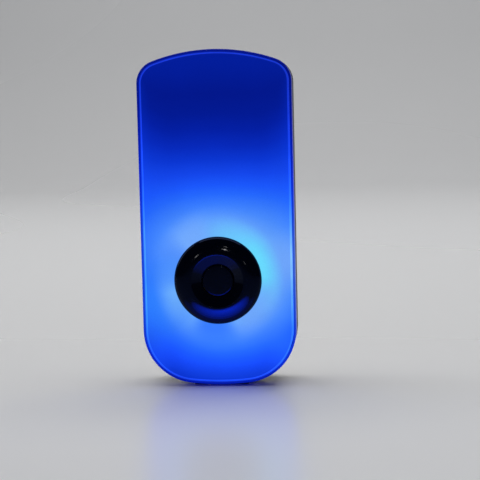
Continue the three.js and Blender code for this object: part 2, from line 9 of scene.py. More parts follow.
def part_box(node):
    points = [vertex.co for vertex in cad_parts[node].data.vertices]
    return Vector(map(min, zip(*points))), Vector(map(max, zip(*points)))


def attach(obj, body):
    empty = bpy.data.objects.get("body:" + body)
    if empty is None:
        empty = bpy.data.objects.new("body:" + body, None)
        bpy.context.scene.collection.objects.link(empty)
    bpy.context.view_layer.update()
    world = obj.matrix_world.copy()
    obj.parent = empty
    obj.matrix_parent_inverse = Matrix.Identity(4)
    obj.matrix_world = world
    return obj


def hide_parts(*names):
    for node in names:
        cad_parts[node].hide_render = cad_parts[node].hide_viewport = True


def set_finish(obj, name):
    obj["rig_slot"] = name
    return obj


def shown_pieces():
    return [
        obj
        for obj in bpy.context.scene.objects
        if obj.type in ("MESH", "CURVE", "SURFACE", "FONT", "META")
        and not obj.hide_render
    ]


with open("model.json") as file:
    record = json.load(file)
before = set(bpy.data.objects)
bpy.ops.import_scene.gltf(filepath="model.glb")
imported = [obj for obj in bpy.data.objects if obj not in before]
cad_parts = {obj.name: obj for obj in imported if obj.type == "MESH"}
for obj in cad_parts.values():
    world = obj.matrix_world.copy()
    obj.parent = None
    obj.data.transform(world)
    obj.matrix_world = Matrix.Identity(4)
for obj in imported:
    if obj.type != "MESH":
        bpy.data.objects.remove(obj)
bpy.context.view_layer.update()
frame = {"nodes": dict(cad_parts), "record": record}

MM = 0.001
QUARTER = math.pi / 2

# ---- sizes, from the frame and the outline's radii ----

BEZEL_LOW, BEZEL_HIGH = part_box("front_bezel")
PANEL_LOW, PANEL_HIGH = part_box("light_panel")
GUIDE_LOW, GUIDE_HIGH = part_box("light_guide")
SHELL_LOW, SHELL_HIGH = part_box("rear_shell")
RING_LOW, RING_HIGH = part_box("volume_ring")
CAP_LOW, CAP_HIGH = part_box("button_cap")

FRONT_Y = PANEL_LOW.y
HALF_WIDTH = BEZEL_HIGH.x
BODY_LOW_Z = BEZEL_LOW.z
BODY_HIGH_Z = BEZEL_HIGH.z
DIAL_X = (RING_LOW.x + RING_HIGH.x) / 2
DIAL_Z = (RING_LOW.z + RING_HIGH.z) / 2
DIAL_RADIUS = (RING_HIGH.x - RING_LOW.x) / 2
BODY_MIDDLE_Z = (BODY_LOW_Z + BODY_HIGH_Z) / 2

TOP_RADIUS = 80.6 * MM
TOP_CORNER_RADIUS = 10.3 * MM
BASE_RADIUS = 115.4 * MM
BASE_CORNER_RADIUS = 23.7 * MM
RIM_WIDTH = 0.95 * MM
LIP_WIDTH = 0.4 * MM
WALL = 1.8 * MM
GAP = 0.3 * MM
SMALL_EDGE = 0.12 * MM
RIM_BACK_Y = FRONT_Y + 9 * MM
RING_RIM_Y = FRONT_Y - 1.0 * MM
SEAT_RADIUS = 17 * MM
CREST_RADIUS = 11.7 * MM
DISH_RADIUS = 7.1 * MM

CORNER_STEPS = 28
ARCH_STEPS = 36
SIDE_STEPS = 44
TURN_STEPS = 192


# ---- mesh building ----

def add_object(name, data):
    made = bpy.data.objects.new(name, data)
    bpy.context.scene.collection.objects.link(made)
    return made


def mesh_from(name, bm):
    mesh = bpy.data.meshes.new(name)
    bm.to_mesh(mesh)
    bm.free()
    return mesh


def new_piece(name, bm, slot, body, node):
    """Makes an object of a finished bmesh and lets it stand for its CAD node."""
    bmesh.ops.remove_doubles(bm, verts=bm.verts, dist=0.0005 * MM)
    bmesh.ops.recalc_face_normals(bm, faces=bm.faces)
    piece = add_object(name, mesh_from(name, bm))
    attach(piece, body)
    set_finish(piece, slot)
    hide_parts(node)
    return piece


def arc(x, z, radius, start, end, steps):
    """Points of an arc round (x, z), with both of its ends."""
    return [
        (x + radius * math.cos(start + (end - start) * i / steps),
         z + radius * math.sin(start + (end - start) * i / steps))
        for i in range(steps + 1)
    ]


def circle(x, z, radius, steps):
    """Points of a full circle, starting at its top."""
    angles = [4 * QUARTER * i / steps for i in range(steps)]
    return [(x + radius * math.sin(angle), z + radius * math.cos(angle)) for angle in angles]


def outline(inset):
    """The body's outline as (x, z) points: a shallow arch, a shallower base and four round corners."""
    top_z = BODY_HIGH_Z - TOP_RADIUS
    base_z = BODY_LOW_Z + BASE_RADIUS
    top_x = HALF_WIDTH - TOP_CORNER_RADIUS
    base_x = HALF_WIDTH - BASE_CORNER_RADIUS
    top_lean = math.asin(top_x / (TOP_RADIUS - TOP_CORNER_RADIUS))
    base_lean = math.asin(base_x / (BASE_RADIUS - BASE_CORNER_RADIUS))
    top_corner_z = top_z + (TOP_RADIUS - TOP_CORNER_RADIUS) * math.cos(top_lean)
    base_corner_z = base_z - (BASE_RADIUS - BASE_CORNER_RADIUS) * math.cos(base_lean)
    top = TOP_CORNER_RADIUS - inset
    base = BASE_CORNER_RADIUS - inset
    side = HALF_WIDTH - inset
    drop = (top_corner_z - base_corner_z) / SIDE_STEPS
    left = [(-side, top_corner_z - drop * i) for i in range(1, SIDE_STEPS)]
    right = [(side, base_corner_z + drop * i) for i in range(1, SIDE_STEPS)]
    return [
        *arc(top_x, top_corner_z, top, 0, QUARTER - top_lean, CORNER_STEPS)[:-1],
        *arc(0, top_z, TOP_RADIUS - inset, QUARTER - top_lean, QUARTER + top_lean, ARCH_STEPS)[:-1],
        *arc(-top_x, top_corner_z, top, QUARTER + top_lean, 2 * QUARTER, CORNER_STEPS),
        *left,
        *arc(-base_x, base_corner_z, base, 2 * QUARTER, 3 * QUARTER - base_lean, CORNER_STEPS)[:-1],
        *arc(0, base_z, BASE_RADIUS - inset, 3 * QUARTER - base_lean, 3 * QUARTER + base_lean,
             ARCH_STEPS)[:-1],
        *arc(base_x, base_corner_z, base, 3 * QUARTER + base_lean, 4 * QUARTER, CORNER_STEPS),
        *right,
    ]


def hole_ring(radius):
    """A circle round the dial's axis with one point towards each point of the outline."""
    centre = Vector((DIAL_X, DIAL_Z))
    return [tuple(centre + (Vector(p) - centre).normalized() * radius) for p in outline(0)]


def loft(rings, closed):
    """Faces between rings of (x, z) points, each at its own y. An open loft gets a cap at each end."""
    bm = bmesh.new()
    rows = [[bm.verts.new((x, y, z)) for x, z in points] for points, y in rings]
    pairs = list(zip(rows, rows[1:]))
    if closed:
        pairs.append((rows[-1], rows[0]))
    for low, high in pairs:
        for i in range(len(low)):
            j = (i + 1) % len(low)
            bm.faces.new((low[i], low[j], high[j], high[i]))
    if not closed:
        bm.faces.new(rows[0])
        bm.faces.new(rows[-1])
    return bm


def turned(profile, closed, steps=TURN_STEPS):
    """A profile of (radius, y) points turned round the dial's axis. A point at radius 0 is a pole."""
    bm = bmesh.new()
    rows = []
    for radius, y in profile:
        points = circle(DIAL_X, DIAL_Z, radius, steps) if radius else [(DIAL_X, DIAL_Z)]
        rows.append([bm.verts.new((x, y, z)) for x, z in points])
    pairs = list(zip(rows, rows[1:]))
    if closed:
        pairs.append((rows[-1], rows[0]))
    for low, high in pairs:
        for i in range(steps):
            j = (i + 1) % steps
            corners = [low[i % len(low)], low[j % len(low)], high[j % len(high)], high[i % len(high)]]
            bm.faces.new(dict.fromkeys(corners))
    return bm


def rolled(start, end, steps):
    """Points of a quarter ellipse from start to end, leaving start along its first coordinate's axis."""
    return [
        (start[0] + (end[0] - start[0]) * math.sin(QUARTER * i / steps),
         start[1] + (end[1] - start[1]) * (1 - math.cos(QUARTER * i / steps)))
        for i in range(steps + 1)
    ]


def smooth(piece, sharp_degrees=35):
    for polygon in piece.data.polygons:
        polygon.use_smooth = True
    piece.data.set_sharp_from_angle(angle=math.radians(sharp_degrees))


def apply_modifiers(piece):
    graph = bpy.context.evaluated_depsgraph_get()
    made = bpy.data.meshes.new_from_object(piece.evaluated_get(graph))
    piece.modifiers.clear()
    old = piece.data
    piece.data = made
    bpy.data.meshes.remove(old)
    made.name = piece.name


def cut_with(piece, cutter_bm, operation="DIFFERENCE"):
    """Cuts a piece with a closed shape, or joins the shape to it, and keeps only the result."""
    bmesh.ops.recalc_face_normals(cutter_bm, faces=cutter_bm.faces)
    mesh = mesh_from("tool", cutter_bm)
    tool = add_object("tool", mesh)
    modifier = piece.modifiers.new("cut", "BOOLEAN")
    modifier.operation = operation
    modifier.solver = "EXACT"
    modifier.object = tool
    apply_modifiers(piece)
    bpy.data.objects.remove(tool)
    bpy.data.meshes.remove(mesh)


def cylinder(x, z, radius, front, back, steps=48):
    points = circle(x, z, radius, steps)
    return loft([(points, front), (points, back)], closed=False)


def rounded_bar(x, z, width, height, radius, front, back, steps=8):
    right = width / 2 - radius
    up = height / 2 - radius
    points = []
    for i, (dx, dz) in enumerate([(right, up), (-right, up), (-right, -up), (right, -up)]):
        points += arc(x + dx, z + dz, radius, i * QUARTER, (i + 1) * QUARTER, steps)
    return loft([(points, front), (points, back)], closed=False)


def add_bevel(piece, width, segments):
    """A modifier that bevels the hard edges."""
    bevel = piece.modifiers.new("bevel", "BEVEL")
    bevel.width = width
    bevel.segments = segments
    bevel.limit_method = "ANGLE"
    bevel.angle_limit = math.radians(40)


# ---- the pieces that show ----

def make_rim():
    """The frosted rim: a rolled front edge, the outside wall, and the tongue that enters the shell."""
    edge = 0.7 * MM
    back_edge = edge / 4
    shoulder_y = FRONT_Y + 6.3 * MM
    tongue_y = BEZEL_HIGH.y
    tongue_out = WALL + GAP
    tongue_in = tongue_out + 1.2 * MM
    profile = [(inset, FRONT_Y + depth) for depth, inset in rolled((edge, 0), (0, edge), 6)]
    profile += [
        (RIM_WIDTH - SMALL_EDGE, FRONT_Y),
        (RIM_WIDTH, FRONT_Y + SMALL_EDGE),
        (RIM_WIDTH, shoulder_y),
        (tongue_in, shoulder_y),
        (tongue_in, tongue_y),
        (tongue_out, tongue_y),
        (tongue_out, RIM_BACK_Y),
        (back_edge, RIM_BACK_Y),
        (0, RIM_BACK_Y - back_edge),
    ]
    bm = loft([(outline(inset), y) for inset, y in profile], closed=True)
    smooth(new_piece("rim", bm, "frosted_rim", "housing", "front_bezel"))


def make_guide_lip():
    """The clear guide plate, whose lip shows as a thin bright line inside the rim."""
    outer = RIM_WIDTH + GAP
    inner = outer + LIP_WIDTH
    plate_front = PANEL_HIGH.y + GAP
    hole = 25.5 * MM
    rings = [
        (outline(outer), GUIDE_HIGH.y),
        (outline(outer), GUIDE_LOW.y + SMALL_EDGE),
        (outline(outer + SMALL_EDGE), GUIDE_LOW.y),
        (outline(inner - SMALL_EDGE), GUIDE_LOW.y),
        (outline(inner), GUIDE_LOW.y + SMALL_EDGE),
        (outline(inner), plate_front),
        (hole_ring(hole), plate_front),
        (hole_ring(hole), GUIDE_HIGH.y),
    ]
    smooth(new_piece("guide", loft(rings, closed=True), "clear_guide", "housing", "light_guide"))


def make_panel():
    """The diffuser: flat, with a small rolled edge, and the hole that the volume ring covers."""
    inset = HALF_WIDTH - PANEL_HIGH.x
    hole = SEAT_RADIUS + GAP
    edge = 0.4 * MM
    rings = [(outline(inset + a), FRONT_Y + b) for b, a in rolled((edge, 0), (0, edge), 5)]
    # Narrow bands beside the rolled edges keep the shading of the wide flat even.
    rings += [
        (outline(inset + 1.25 * edge), FRONT_Y),
        (outline(inset + 2 * edge), FRONT_Y),
        (hole_ring(hole + 2 * edge), FRONT_Y),
        (hole_ring(hole + edge), FRONT_Y),
        (hole_ring(hole), FRONT_Y + edge),
        (hole_ring(hole), PANEL_HIGH.y),
        (outline(inset + edge / 2), PANEL_HIGH.y),
        (outline(inset), PANEL_HIGH.y - edge / 2),
    ]
    smooth(new_piece("panel", loft(rings, closed=True), "light_panel", "housing", "light_panel"))


def make_volume_ring():
    """The glossy ring: a full round shoulder up to the crest and a straight cone down into the dish."""
    crest_y = RING_LOW.y
    crest_round = 0.45 * MM
    crest_steps = 6
    dish_y = FRONT_Y - 1.5 * MM
    dish_edge = 0.15 * MM
    lip_y = FRONT_Y - 0.6 * MM
    hub_bore = 8.9 * MM
    hub_radius = 10.9 * MM
    cove_radius = 14 * MM
    cove_y = FRONT_Y - 2.5 * MM
    under_radius = 17.6 * MM
    under_y = FRONT_Y - 0.4 * MM
    under_edge = 0.15 * MM
    shoulder = rolled((RING_RIM_Y, DIAL_RADIUS), (crest_y, CREST_RADIUS), 40)
    profile = [(radius, y) for y, radius in shoulder]
    slope = math.atan2(dish_y - crest_y, CREST_RADIUS - DISH_RADIUS)
    for i in range(1, crest_steps + 1):
        lean = slope * i / crest_steps
        profile.append((CREST_RADIUS - crest_round * math.sin(lean),
                        crest_y + crest_round * (1 - math.cos(lean))))
    cone_top = profile[-1]
    cone_foot = (DISH_RADIUS + dish_edge, dish_y - dish_edge * math.tan(slope))
    # Rows close to both ends keep the shading of the straight cone even.
    for share in (0.04, 0.3, 0.65, 0.96, 1.0):
        profile.append(tuple(a + (b - a) * share for a, b in zip(cone_top, cone_foot)))
    profile += [
        (DISH_RADIUS, dish_y + dish_edge),
        (DISH_RADIUS, lip_y),
        (hub_bore, lip_y),
        (hub_bore, RING_HIGH.y),
        (hub_radius, RING_HIGH.y),
        (hub_radius, cove_y),
        (cove_radius, cove_y),
        (under_radius, under_y),
        (DIAL_RADIUS - under_edge, under_y),
    ]
    bm = turned(profile, closed=True)
    smooth(new_piece("dial_ring", bm, "gloss_black", "volume_dial", "volume_ring"), 40)


def make_button():
    """The push button in the dish: flat, with a small rolled edge and a skirt behind it."""
    radius = DISH_RADIUS - GAP
    edge = 0.4 * MM
    crown_y = CAP_LOW.y
    flange_y = FRONT_Y + 2 * MM
    flange_radius = 7.4 * MM
    skirt_y = FRONT_Y + 3 * MM
    skirt_radius = 5.6 * MM
    stem_radius = 1.5 * MM
    profile = [
        (0, crown_y),
        (radius / 2, crown_y),
        *rolled((radius - edge, crown_y), (radius, crown_y + edge), 10),
        (radius, flange_y),
        (flange_radius, flange_y),
        (flange_radius, skirt_y),
        (skirt_radius, skirt_y),
        (skirt_radius, FRONT_Y),
        (stem_radius, FRONT_Y),
        (stem_radius, CAP_HIGH.y),
        (0, CAP_HIGH.y),
    ]
    bm = turned(profile, closed=False, steps=128)
    smooth(new_piece("button", bm, "gloss_black", "centre_button", "button_cap"), 40)


def make_shell():
    """The rear shell: a hollow tub with a rolled back edge, screw wells and openings for the sockets."""
    edge = 5 * MM
    edge_depth = 9 * MM
    hollow_edge = edge - 0.8 * MM
    hollow_depth = edge_depth - 1 * MM
    back_y = SHELL_HIGH.y
    inside = [
        (outline(WALL + hollow_edge - a), back_y - WALL - b)
        for b, a in rolled((0, 0), (hollow_depth, hollow_edge), 12)
    ]
    lips = [
        (outline(WALL), SHELL_LOW.y + SMALL_EDGE),
        (outline(WALL - SMALL_EDGE), SHELL_LOW.y),
        (outline(SMALL_EDGE), SHELL_LOW.y),
        (outline(0), SHELL_LOW.y + SMALL_EDGE),
    ]
    outside = [
        (outline(a), back_y - edge_depth + b)
        for b, a in rolled((0, 0), (edge_depth, edge), 20)
    ]
    # Narrow bands beside the rolled edge keep the shading of the flat back even.
    flat_back = [(outline(edge + inset), back_y) for inset in (0.3 * MM, 1.2 * MM)]
    bm = loft(inside + lips + outside + flat_back, closed=False)
    piece = new_piece("back_shell", bm, "black_plastic", "housing", "rear_shell")
    add_screw_posts(piece)
    open_sockets(piece)
    add_bevel(piece, 0.14 * MM, 2)
    apply_modifiers(piece)
    smooth(piece)
    piece.modifiers.new("flat_faces", "WEIGHTED_NORMAL").keep_sharp = True


def middle(node):
    """The (x, z) middle of a CAD node."""
    low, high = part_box(node)
    return (low.x + high.x) / 2, (low.z + high.z) / 2


def add_screw_posts(piece):
    """A post inside the shell for each case screw, with its hole and a well for its head."""
    post_radius = 3.2 * MM
    post_y = FRONT_Y + 12.3 * MM
    hole_radius = 1.3 * MM
    well_radius = 2.4 * MM
    well_y = FRONT_Y + 22 * MM
    outside_y = SHELL_HIGH.y + WALL
    places = [middle(f"case_screw_{i}") for i in range(1, 5)]
    for x, z in places:
        cut_with(piece, cylinder(x, z, post_radius, post_y, SHELL_HIGH.y - WALL / 2), "UNION")
    for x, z in places:
        cut_with(piece, cylinder(x, z, hole_radius, FRONT_Y, outside_y, 32))
        cut_with(piece, cylinder(x, z, well_radius, well_y, outside_y))


def open_sockets(piece):
    """Openings in the back for the audio jack, the charging socket and the power switch."""
    front = SHELL_HIGH.y - 2 * WALL
    back = SHELL_HIGH.y + WALL
    jack_radius = 3.3 * MM
    # Width, height and corner radius.
    usb_size = (9.6 * MM, 3.9 * MM, 1.6 * MM)
    switch_size = (5.6 * MM, 3 * MM, 0.05 * MM)
    cut_with(piece, cylinder(*middle("audio_jack"), jack_radius, front, back, 64))
    cut_with(piece, rounded_bar(*middle("usb_socket"), *usb_size, front, back))
    cut_with(piece, rounded_bar(*middle("power_switch"), *switch_size, front, back, 2))


def soften_nodes():
    """Carried-over CAD nodes are shaded smooth between hard edges. Three that show get a bevel."""
    widths = {"foot_pad": 0.3 * MM, "power_knob": 0.15 * MM, "audio_jack": 0.12 * MM}
    for name, node in frame["nodes"].items():
        if node.hide_render:
            continue
        smooth(node, 30)
        if name in widths:
            add_bevel(node, widths[name], 3)


# ---- materials ----

def srgb(red, green, blue):
    """A linear colour from 8-bit sRGB numbers."""
    def linear(value):
        value /= 255
        return value / 12.92 if value <= 0.04045 else ((value + 0.055) / 1.055) ** 2.4
    return linear(red), linear(green), linear(blue), 1.0


def rgb(colour, factor=1.0):
    """A colour socket's value from three numbers, made lighter or darker by a factor."""
    return tuple(c * factor for c in colour) + (1.0,)


class Nodes:
    """A material's node tree with short calls to add nodes. Sockets or plain values go in as inputs."""

    def __init__(self, name):
        self.material = bpy.data.materials.new(name)
        self.material.use_nodes = True
        self.tree = self.material.node_tree
        self.shader = next(n for n in self.tree.nodes if n.type == "BSDF_PRINCIPLED")
        self.coords = self.tree.nodes.new("ShaderNodeTexCoord").outputs["Object"]

    def put(self, socket, value):
        if isinstance(value, bpy.types.NodeSocket):
            self.tree.links.new(value, socket)
        else:
            socket.default_value = value

    def set(self, **values):
        for name, value in values.items():
            self.put(self.shader.inputs[name.replace("_", " ")], value)

    def math(self, operation, *values):
        node = self.tree.nodes.new("ShaderNodeMath")
        node.operation = operation
        for socket, value in zip(node.inputs, values):
            self.put(socket, value)
        return node.outputs[0]

    def remap(self, value, low, high, to_low=0.0, to_high=1.0, ease="SMOOTHSTEP"):
        node = self.tree.nodes.new("ShaderNodeMapRange")
        node.interpolation_type = ease
        for socket, number in zip(node.inputs, (value, low, high, to_low, to_high)):
            self.put(socket, number)
        return node.outputs[0]

    def vary(self, noise, low, high, margin=0.3):
        """A noise's middle range, without its rare ends, spread evenly from low to high."""
        return self.remap(noise, margin, 1 - margin, low, high, "LINEAR")

    def mix(self, factor, first, second, blend="MIX"):
        node = self.tree.nodes.new("ShaderNodeMix")
        node.data_type = "RGBA"
        node.blend_type = blend
        node.clamp_result = False
        self.put(node.inputs[0], factor)
        self.put(node.inputs[6], first)
        self.put(node.inputs[7], second)
        return node.outputs[2]

    def scaled(self, colour, level):
        """A colour made brighter or darker by a level that varies from place to place."""
        node = self.tree.nodes.new("ShaderNodeCombineColor")
        for socket in node.inputs:
            self.put(socket, level)
        return self.mix(1.0, colour, node.outputs[0], "MULTIPLY")

    def length(self, first, second):
        squares = [self.math("MULTIPLY", value, value) for value in (first, second)]
        return self.math("SQRT", self.math("ADD", *squares))

    def noise(self, scale, detail=2.0, roughness=0.5, coords=None):
        node = self.tree.nodes.new("ShaderNodeTexNoise")
        self.put(node.inputs["Vector"], coords or self.coords)
        self.put(node.inputs["Scale"], scale)
        self.put(node.inputs["Detail"], detail)
        self.put(node.inputs["Roughness"], roughness)
        return node.outputs[0]

    def mapped(self, name, value):
        """The object's coordinates with the mapping's Scale or Rotation set to a value."""
        node = self.tree.nodes.new("ShaderNodeMapping")
        self.put(node.inputs["Vector"], self.coords)
        self.put(node.inputs[name], value)
        return node.outputs[0]

    def split(self):
        node = self.tree.nodes.new("ShaderNodeSeparateXYZ")
        self.put(node.inputs[0], self.coords)
        return node.outputs

    def ramp(self, value, stops):
        node = self.tree.nodes.new("ShaderNodeValToRGB")
        self.put(node.inputs[0], value)
        elements = node.color_ramp.elements
        while len(elements) < len(stops):
            elements.new(1.0)
        for element, (position, colour) in zip(elements, stops):
            element.position = position
            element.color = colour
        return node.outputs[0]

    def bump(self, height, strength, distance):
        node = self.tree.nodes.new("ShaderNodeBump")
        self.put(node.inputs["Height"], height)
        self.put(node.inputs["Strength"], strength)
        self.put(node.inputs["Distance"], distance)
        self.put(self.shader.inputs["Normal"], node.outputs[0])


# How the lit front fades: distance from the dial's middle in millimetres and colour. GLOW_REACH is
# the distance at which the ramp ends.
GLOW_STOPS = [
    (22, srgb(106, 172, 252)),
    (26, srgb(90, 153, 252)),
    (30, srgb(72, 138, 253)),
    (34, srgb(55, 122, 252)),
    (38, srgb(37, 104, 252)),
    (42, srgb(27, 87, 250)),
    (47, srgb(20, 70, 233)),
    (53, srgb(11, 54, 209)),
    (59, srgb(7, 41, 186)),
    (66, srgb(4, 31, 163)),
    (73, srgb(3, 26, 147)),
    (82, srgb(3, 23, 138)),
]
GLOW_REACH = 100

# Soft round patches of light: (x, z) from the dial's middle and radius in millimetres, then
# colour and amount.
GLOW_SPOTS = [
    ((-31, -10), 24, srgb(46, 130, 253), 0.7),
    ((31, 8), 17, srgb(112, 166, 251), 0.9),
]

# The lamps round the dial show as arcs: turn from the top and half width in degrees, inner and
# outer radius in millimetres, then colour and amount.
GLOW_ARCS = [
    (55, 80, 20, 30, srgb(104, 218, 253), 1.0),
    (5, 50, 24, 34, srgb(110, 168, 253), 0.4),
    (-40, 36, 22, 34, srgb(116, 170, 253), 0.8),
    (128, 42, 21, 31, srgb(112, 165, 250), 0.7),
    (-98, 42, 20, 30, srgb(112, 178, 251), 0.85),
    (-140, 35, 20, 31, srgb(96, 160, 250), 0.5),
    (186, 30, 20, 34, srgb(44, 116, 252), 0.85),
    (-72, 34, 22, 40, srgb(48, 122, 250), 0.6),
]


# The shine of the lit front, the rim and the dial is tinted blue: a painted reflection of the blue light
# that the front throws round it.
PAINTED_BLUE_SHINE = (0.22, 0.36, 1.0, 1.0)


def glow(nodes):
    """The colour of the lit front at each place: palest round the dial, deep blue far from it."""
    x, _, z = nodes.split()
    aside = nodes.math("DIVIDE", nodes.math("SUBTRACT", x, DIAL_X), MM)
    up = nodes.math("DIVIDE", nodes.math("SUBTRACT", z, DIAL_Z), MM)
    beside = nodes.math("DIVIDE", nodes.math("ABSOLUTE", x), HALF_WIDTH)
    reach = glow_distance(nodes, aside, up, beside)
    stops = [(distance / GLOW_REACH, colour) for distance, colour in GLOW_STOPS]
    colour = nodes.ramp(nodes.math("DIVIDE", reach, GLOW_REACH), stops)
    for (spot_x, spot_z), radius, tint, amount in GLOW_SPOTS:
        spot_aside = nodes.math("SUBTRACT", aside, spot_x)
        spot_up = nodes.math("SUBTRACT", up, spot_z)
        share = nodes.remap(nodes.length(spot_aside, spot_up), 0.0, radius, amount, 0.0)
        colour = nodes.mix(share, colour, tint)
    distance = nodes.length(aside, up)
    for turn, half_turn, inner, outer, tint, amount in GLOW_ARCS:
        turn = math.radians(turn)
        edge = math.cos(math.radians(half_turn))
        along = nodes.math("MULTIPLY", up, math.cos(turn))
        along = nodes.math("MULTIPLY_ADD", aside, math.sin(turn), along)
        facing = nodes.math("DIVIDE", along, distance)
        by_turn = nodes.remap(facing, edge, 1.0, 0.0, amount)
        by_distance = nodes.remap(distance, inner, outer, 1.0, 0.0)
        colour = nodes.mix(nodes.math("MULTIPLY", by_turn, by_distance), colour, tint)
    return edge_light(nodes, beside, z, colour)


def glow_distance(nodes, aside, up, beside):
    """The distance in millimetres that the light fades by: less across the top and near the sides."""
    middle_x = 1.2
    right_fade = 0.92
    left_more = 0.2
    below_more = 0.17
    flat_height = 62.0
    flat_share = 0.3
    side_start = 0.55
    top_lift = 6.0
    base_lift = 9.0
    flatten = nodes.remap(up, 0.0, flat_height, 1.0, flat_share, "LINEAR")
    across = nodes.math("SUBTRACT", aside, middle_x)
    left = nodes.math("LESS_THAN", across, 0.0)
    across = nodes.math("MULTIPLY", across, nodes.math("MULTIPLY_ADD", left, left_more, right_fade))
    across = nodes.math("MULTIPLY", across, flatten)
    below = nodes.math("LESS_THAN", up, 0.0)
    along = nodes.math("MULTIPLY", up, nodes.math("MULTIPLY_ADD", below, below_more, 1.0))
    near_side = nodes.remap(beside, side_start, 1.0)
    at_top = nodes.remap(up, 30.0, 75.0, 0.0, top_lift)
    at_base = nodes.remap(up, -40.0, -20.0, base_lift, 0.0)
    lift = nodes.math("MULTIPLY", near_side, nodes.math("ADD", at_top, at_base))
    return nodes.math("SUBTRACT", nodes.length(across, along), lift)


def edge_light(nodes, beside, z, colour):
    """The far end of the guide lets a little more light out near its edges."""
    tint = (0.0, 0.0045, 0.085, 1.0)
    strength = 0.9
    side = nodes.remap(beside, 0.8, 1.0)
    top = nodes.remap(z, BODY_HIGH_Z - 22 * MM, BODY_HIGH_Z - 3 * MM)
    high = nodes.remap(z, DIAL_Z, BODY_HIGH_Z - 40 * MM)
    amount = nodes.math("MULTIPLY", nodes.math("MAXIMUM", side, top), high)
    return nodes.mix(nodes.math("MULTIPLY", amount, strength), colour, tint, "ADD")


def panel_material():
    """The lit diffuser: its glow with a fine grain, under a polished skin."""
    nodes = Nodes("panel_diffuser")
    colour = glow(nodes)
    grain = nodes.noise(scale=2200)
    cloud = nodes.noise(scale=60, detail=3.0)
    level = nodes.math("MULTIPLY", nodes.vary(grain, 0.965, 1.035, margin=0.2),
                       nodes.vary(cloud, 0.975, 1.025))
    nodes.set(Base_Color=(0.0002, 0.0006, 0.005, 1.0), Roughness=nodes.vary(cloud, 0.09, 0.13))
    nodes.set(Emission_Color=nodes.scaled(colour, level), Emission_Strength=1.0)
    # The blue tint on the shine is a painted reflection of the front's own blue light.
    nodes.set(Specular_IOR_Level=0.1, Specular_Tint=PAINTED_BLUE_SHINE)
    nodes.bump(grain, strength=0.06, distance=0.05 * MM)
    return nodes.material


def rim_material():
    """Frosted plastic that carries less of the light, and less still towards its back."""
    share = (0.2, 0.28, 0.62, 1.0)
    back_share = 0.25
    nodes = Nodes("rim_frosted")
    _, y, _ = nodes.split()
    grain = nodes.noise(scale=1500)
    fade = nodes.remap(y, FRONT_Y, RIM_BACK_Y, 1.0, back_share, "LINEAR")
    level = nodes.math("MULTIPLY", fade, nodes.vary(grain, 0.94, 1.06, margin=0.2))
    tinted = nodes.mix(1.0, glow(nodes), share, "MULTIPLY")
    nodes.set(Base_Color=(0.001, 0.008, 0.06, 1.0), Roughness=nodes.vary(grain, 0.28, 0.4))
    nodes.set(Emission_Color=nodes.scaled(tinted, level), Emission_Strength=1.0)
    # The blue tint on the shine is a painted reflection of the front's own blue light.
    nodes.set(Specular_IOR_Level=0.2, Specular_Tint=PAINTED_BLUE_SHINE)
    nodes.bump(grain, strength=0.08, distance=0.05 * MM)
    return nodes.material


def lip_material():
    """The clear plate's edge, brighter and bluer than the diffuser beside it."""
    gain = (1.35, 1.35, 1.0, 1.0)
    more_blue = (0.007, 0.018, 0.25, 1.0)
    nodes = Nodes("guide_lip")
    ripple = nodes.noise(scale=180)
    bright = nodes.mix(1.0, glow(nodes), gain, "MULTIPLY")
    bright = nodes.mix(1.0, bright, more_blue, "ADD")
    nodes.set(Base_Color=(0.002, 0.01, 0.06, 1.0), Roughness=nodes.vary(ripple, 0.1, 0.2))
    nodes.set(Emission_Color=nodes.scaled(bright, nodes.vary(ripple, 0.9, 1.1)), Emission_Strength=1.0)
    nodes.set(Specular_IOR_Level=0.2)
    return nodes.material


def gloss_material():
    """Polished black moulding, with faint haze and fine dust in its shine."""
    black = (0.0004, 0.0008, 0.004, 1.0)
    dusty = (0.006, 0.007, 0.012, 1.0)
    dust_roughness = 0.2
    nodes = Nodes("gloss_black")
    haze = nodes.noise(scale=140, detail=3.0)
    dust = nodes.remap(nodes.noise(scale=2600, detail=1.0), 0.74, 0.8)
    roughness = nodes.math("MULTIPLY_ADD", dust, dust_roughness, nodes.vary(haze, 0.06, 0.1))
    nodes.set(Base_Color=nodes.mix(dust, black, dusty), Roughness=roughness)
    # The blue tint on the shine is a painted reflection of the front's own blue light.
    nodes.set(Specular_IOR_Level=0.16, Specular_Tint=PAINTED_BLUE_SHINE)
    nodes.bump(haze, strength=0.02, distance=0.05 * MM)
    return nodes.material


def moulded_material(name, colour, roughness, grain_size, depth):
    """Moulded plastic or rubber with an etched grain and slight unevenness."""
    nodes = Nodes(name)
    grain = nodes.noise(scale=1 / (grain_size * MM), detail=3.0, roughness=0.6)
    patch = nodes.remap(nodes.noise(scale=35), 0.35, 0.65, 0.0, 0.5)
    shade = nodes.mix(nodes.remap(grain, 0.3, 0.7), rgb(colour), rgb(colour, 1.5))
    nodes.set(Base_Color=nodes.mix(patch, shade, rgb(colour, 0.75)))
    nodes.set(Roughness=nodes.vary(grain, roughness - 0.07, roughness + 0.07))
    nodes.bump(grain, strength=depth, distance=0.06 * MM)
    return nodes.material


def metal_material(name, colour, roughness):
    """Plated or rolled metal with fine lines along its length."""
    nodes = Nodes(name)
    along = nodes.mapped("Scale", (1.0, 0.08, 1.0))
    lines = nodes.noise(scale=900, detail=2.0, roughness=0.6, coords=along)
    nodes.set(Base_Color=nodes.mix(nodes.remap(lines, 0.3, 0.7), rgb(colour, 0.7), rgb(colour)))
    nodes.set(Roughness=nodes.vary(lines, roughness - 0.06, roughness + 0.1), Metallic=1.0)
    nodes.bump(lines, strength=0.1, distance=0.02 * MM)
    return nodes.material


